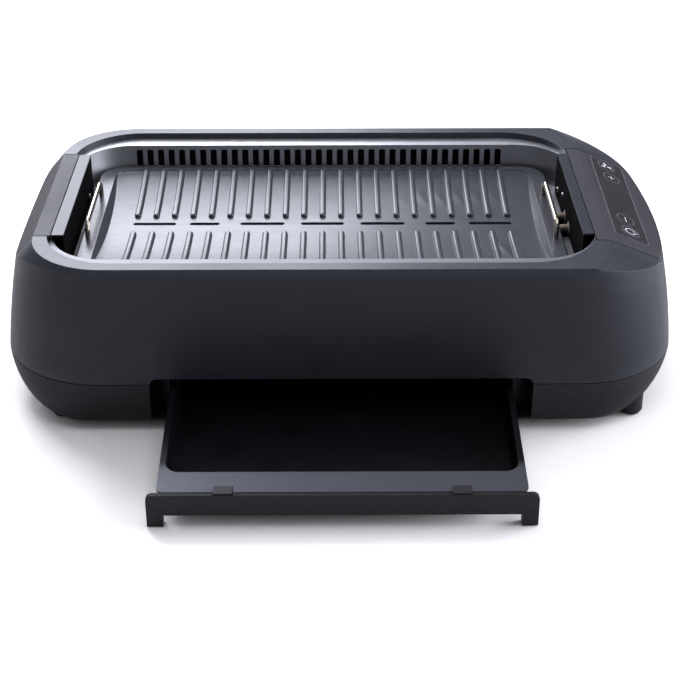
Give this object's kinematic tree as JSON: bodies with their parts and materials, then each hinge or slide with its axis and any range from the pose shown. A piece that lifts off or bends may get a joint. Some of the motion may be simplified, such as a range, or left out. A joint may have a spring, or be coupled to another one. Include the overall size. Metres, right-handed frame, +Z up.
{
  "type": "smokeless electric grill",
  "caption": "Indoor electric grill: bowed housing on feet, lined well with a lift-off ribbed plate, touch controls on the sloped end and a grease drawer pulled out at the front.",
  "frame": {"origin": "on the worktop, under the middle of the bounding box with the drawer pulled out", "axes": "+X to the right, towards the controls; +Y to the back; +Z up; the drawer comes out towards -Y"},
  "size_m": [0.546, 0.43, 0.14],
  "materials": {
    "shell_plastic": "slate grey moulded plastic, satin",
    "cap_plastic": "dark moulded plastic",
    "touch_glass": "dark gloss touch window",
    "base_plastic": "near black moulded plastic",
    "stainless_sheet": "bright stainless sheet",
    "plate_casting": "cast aluminium with a dark grey non-stick coating",
    "handle_wire": "polished steel wire",
    "element_sheath": "heat darkened steel sheath",
    "bead_ceramic": "unglazed ceramic",
    "tray_coating": "pressed aluminium with a black coating",
    "drawer_plastic": "dark moulded plastic",
    "runner_plastic": "black sliding plastic",
    "foot_plastic": "black moulded plastic",
    "pad_rubber": "soft black rubber",
    "fan_plastic": "black moulded plastic",
    "motor_steel": "zinc coated steel",
    "screw_steel": "zinc coated steel",
    "board_laminate": "green circuit board laminate",
    "shield_sheet": "aluminised steel sheet",
    "gland_plastic": "black moulded plastic",
    "sensor_body": "ceramic and steel"
  },
  "bodies": {
    "housing": {"upper_shell": "shell_plastic", "left_end_cap": "cap_plastic", "control_cap": "cap_plastic", "control_window": "touch_glass", "control_board": "board_laminate", "left_inner_strip": "cap_plastic", "right_inner_strip": "cap_plastic", "rear_liner": "stainless_sheet", "front_liner": "stainless_sheet", "heating_element": "element_sheath", "element_terminals": "bead_ceramic", "element_supports": "stainless_sheet", "reflector_pan": "stainless_sheet", "thermostat_sensor": "sensor_body", "thermal_fuse": "sensor_body", "left_runner": "runner_plastic", "right_runner": "runner_plastic", "runner_screws": "screw_steel", "base_tub": "base_plastic", "fan_housing": "fan_plastic", "fan_motor": "motor_steel", "exhaust_grille": "base_plastic", "board_standoffs": "fan_plastic", "power_board": "board_laminate", "board_screws": "screw_steel", "heat_shield": "shield_sheet", "cord_gland": "gland_plastic", "gland_nut": "gland_plastic", "shell_screws": "screw_steel", "foot_front_left": "foot_plastic", "foot_pad_front_left": "pad_rubber", "foot_front_right": "foot_plastic", "foot_pad_front_right": "pad_rubber", "foot_rear_left": "foot_plastic", "foot_pad_rear_left": "pad_rubber", "foot_rear_right": "foot_plastic", "foot_pad_rear_right": "pad_rubber"},
    "grill_plate": {"grill_plate": "plate_casting", "left_plate_handle": "handle_wire", "right_plate_handle": "handle_wire"},
    "drawer": {"drip_tray": "tray_coating", "drawer_front": "drawer_plastic"},
    "fan": {"fan_impeller": "fan_plastic", "fan_shaft": "screw_steel"}
  },
  "joints": [
    {"name": "plate_lift", "type": "slide", "parent": "housing", "child": "grill_plate", "axis": [0, 0, 1], "range_m": [0, 0.08]},
    {"name": "drawer_slide", "type": "slide", "parent": "housing", "child": "drawer", "axis": [0, -0.9949, -0.1011], "range_m": [-0.13, 0]},
    {"name": "fan_spin", "type": "hinge", "parent": "housing", "child": "fan", "pos_m": [-0.018, 0.19475, 0.074], "axis": [0, 1, 0], "continuous": true}
  ]
}
